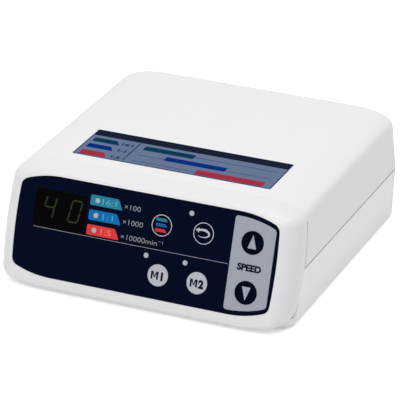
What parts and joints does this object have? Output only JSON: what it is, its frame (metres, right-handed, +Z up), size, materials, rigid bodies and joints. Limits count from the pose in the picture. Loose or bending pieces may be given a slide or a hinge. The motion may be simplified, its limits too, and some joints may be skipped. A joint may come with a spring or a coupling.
{
  "type": "dental micromotor control unit",
  "caption": "Tabletop control unit for an electric dental micromotor, with a slanted key panel, display window, rear motor socket and power switch.",
  "frame": {"origin": "centre of the object's footprint (casing and rear sockets), on the table under the soles of the feet", "axes": "+X to the right of a person who faces the key panel, +Y away from that person towards the sockets, +Z up"},
  "size_m": [0.1484, 0.1614, 0.0551],
  "materials": {
    "cover_plastic": "fine satin texture",
    "bezel_plastic": "satin gloss paint",
    "panel_film": "satin printed film",
    "window_glass": "smoked window",
    "label_film": "printed film",
    "foot_rubber": "matt",
    "screw_steel": "zinc plated",
    "lamp_plastic": "clear moulded",
    "board_green": "solder mask",
    "black_plastic": "moulded",
    "ribbon_grey": "soft",
    "sink_aluminium": "anodised",
    "can_sleeve": "shrink sleeve",
    "ferrite": "ferrite",
    "sensor_plastic": "moulded",
    "hose_silicone": "translucent silicone",
    "rear_plate": "fine texture paint",
    "socket_metal": "satin nickel plate",
    "contact_brass": "gold flashed",
    "key_grey": "printed film",
    "key_navy": "printed film",
    "key_dark": "printed film"
  },
  "bodies": {
    "casing": {"upper_cover": "cover_plastic", "lower_cover": "cover_plastic", "front_bezel": "bezel_plastic", "membrane_sheet": "panel_film", "display_window": "window_glass", "top_label": "label_film", "feet": "foot_rubber", "case_screws": "screw_steel", "lamp_lenses": "lamp_plastic", "key_board": "board_green", "key_board_screws": "screw_steel", "key_switches": "black_plastic", "lamp_chips": "lamp_plastic", "display_module": "black_plastic", "ribbon_plugs": "black_plastic", "ribbon_cable": "ribbon_grey", "main_board": "board_green", "main_board_screws": "screw_steel", "heat_sink": "sink_aluminium", "power_transistors": "black_plastic", "transistor_screws": "screw_steel", "filter_capacitors": "can_sleeve", "power_choke": "ferrite", "control_chips": "black_plastic", "buzzer": "black_plastic", "pressure_sensor": "sensor_plastic", "pressure_hose": "hose_silicone", "rear_panel": "rear_plate", "motor_socket_shell": "socket_metal", "motor_socket_insert": "black_plastic", "motor_socket_contacts": "contact_brass", "motor_socket_nut": "socket_metal", "power_inlet": "black_plastic", "power_inlet_pin": "socket_metal", "power_inlet_nut": "socket_metal", "air_inlet": "socket_metal", "air_inlet_nut": "socket_metal", "switch_housing": "black_plastic", "switch_terminals": "contact_brass"},
    "key_m1": {"key_m1": "key_grey"},
    "key_m2": {"key_m2": "key_grey"},
    "key_ratio": {"key_ratio": "key_navy"},
    "key_reverse": {"key_reverse": "key_navy"},
    "key_up": {"key_up": "key_dark"},
    "key_down": {"key_down": "key_dark"},
    "switch_rocker": {"switch_rocker": "black_plastic"}
  },
  "joints": [
    {"name": "press_m1", "type": "slide", "parent": "casing", "child": "key_m1", "axis": [0, 0.9449, -0.3272], "range_m": [0, 0.0004], "stiffness_N_per_m": 4000},
    {"name": "press_m2", "type": "slide", "parent": "casing", "child": "key_m2", "axis": [0, 0.9449, -0.3272], "range_m": [0, 0.0004], "stiffness_N_per_m": 4000},
    {"name": "press_ratio", "type": "slide", "parent": "casing", "child": "key_ratio", "axis": [0, 0.9449, -0.3272], "range_m": [0, 0.0004], "stiffness_N_per_m": 4000},
    {"name": "press_reverse", "type": "slide", "parent": "casing", "child": "key_reverse", "axis": [0, 0.9449, -0.3272], "range_m": [0, 0.0004], "stiffness_N_per_m": 4000},
    {"name": "press_up", "type": "slide", "parent": "casing", "child": "key_up", "axis": [0, 0.9449, -0.3272], "range_m": [0, 0.0004], "stiffness_N_per_m": 4000},
    {"name": "press_down", "type": "slide", "parent": "casing", "child": "key_down", "axis": [0, 0.9449, -0.3272], "range_m": [0, 0.0004], "stiffness_N_per_m": 4000},
    {"name": "rock_power_switch", "type": "hinge", "parent": "casing", "child": "switch_rocker", "pos_m": [-0.037, 0.06833, 0.0262], "axis": [1, 0, 0], "range_deg": [-20, 0]}
  ]
}
